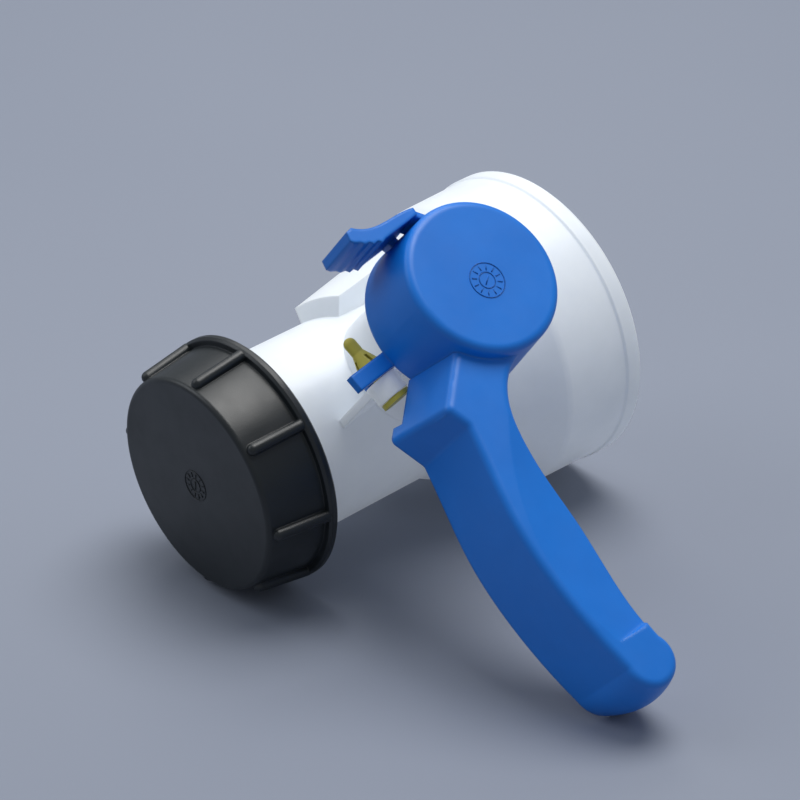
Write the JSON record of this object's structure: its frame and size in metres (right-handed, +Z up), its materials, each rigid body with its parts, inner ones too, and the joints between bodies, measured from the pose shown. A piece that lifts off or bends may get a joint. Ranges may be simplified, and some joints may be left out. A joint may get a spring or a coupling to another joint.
{
  "type": "ibc tank valve",
  "caption": "Butterfly outlet valve for an intermediate bulk container, with ribbed screw cap, offset quarter-turn lever, sprung latch and security pin.",
  "frame": {"origin": "centre of the footprint on the table, at the bottom of the bounding box, with the valve lying as it rests", "axes": "+Z up from the table; +X along the pipe towards the screw cap, which dips 5.2 degrees below level; +Y towards the lever's end. The stem leans 42 degrees from upright towards +Y"},
  "size_m": [0.1476, 0.2, 0.1257],
  "materials": {
    "body_hdpe": "satin",
    "blue_plastic": "satin",
    "black_plastic": "satin",
    "yellow_plastic": "satin",
    "inner_plastic": "satin",
    "seal_rubber": "matte",
    "steel": "satin"
  },
  "bodies": {
    "body": {"valve_body": "body_hdpe", "seat_ring": "seal_rubber", "stem_bush": "inner_plastic", "inner_bush": "inner_plastic", "pivot_bush": "inner_plastic"},
    "handle_group": {"handle": "blue_plastic", "drive_stem": "inner_plastic", "pivot_pin": "inner_plastic", "butterfly_disc": "body_hdpe", "disc_pins": "steel", "snap_ring": "steel", "thrust_washer": "inner_plastic", "stem_o_ring_lower": "seal_rubber", "stem_o_ring_upper": "seal_rubber", "pivot_o_ring": "seal_rubber"},
    "latch": {"latch_lever": "blue_plastic"},
    "security_pin": {"lock_pin": "yellow_plastic"},
    "cap_carrier": {"cap_gasket": "seal_rubber"},
    "cap": {"screw_cap": "black_plastic"}
  },
  "joints": [
    {"name": "handle_turn", "type": "hinge", "parent": "body", "child": "handle_group", "pos_m": [0.00248, -0.05039, 0.04431], "axis": [0.0677, 0.6678, 0.7412], "range_deg": [-90, 0]},
    {"name": "latch_swing", "type": "hinge", "parent": "handle_group", "child": "latch", "pos_m": [0.00966, -0.01638, 0.11419], "axis": [0.0677, 0.6678, 0.7412], "range_deg": [-10, 0], "stiffness_Nm_per_rad": 0.1},
    {"name": "pin_pull", "type": "slide", "parent": "body", "child": "security_pin", "axis": [-0.2158, 0.7351, -0.6426], "range_m": [0, 0.045]},
    {"name": "cap_travel", "type": "slide", "parent": "body", "child": "cap_carrier", "axis": [0.9959, 0, -0.091], "range_m": [0, 0.018]},
    {"name": "cap_turn", "type": "hinge", "parent": "cap_carrier", "child": "cap", "pos_m": [0.00248, -0.05039, 0.04431], "axis": [0.9959, 0, -0.091], "range_deg": [0, 1080]}
  ],
  "couplings": [
    {"joint": "cap_travel", "follows": "cap_turn", "m_per_rad": 0.00095493},
    {"joint": "pin_pull", "follows": "handle_turn", "m_per_rad": -0.028648}
  ]
}
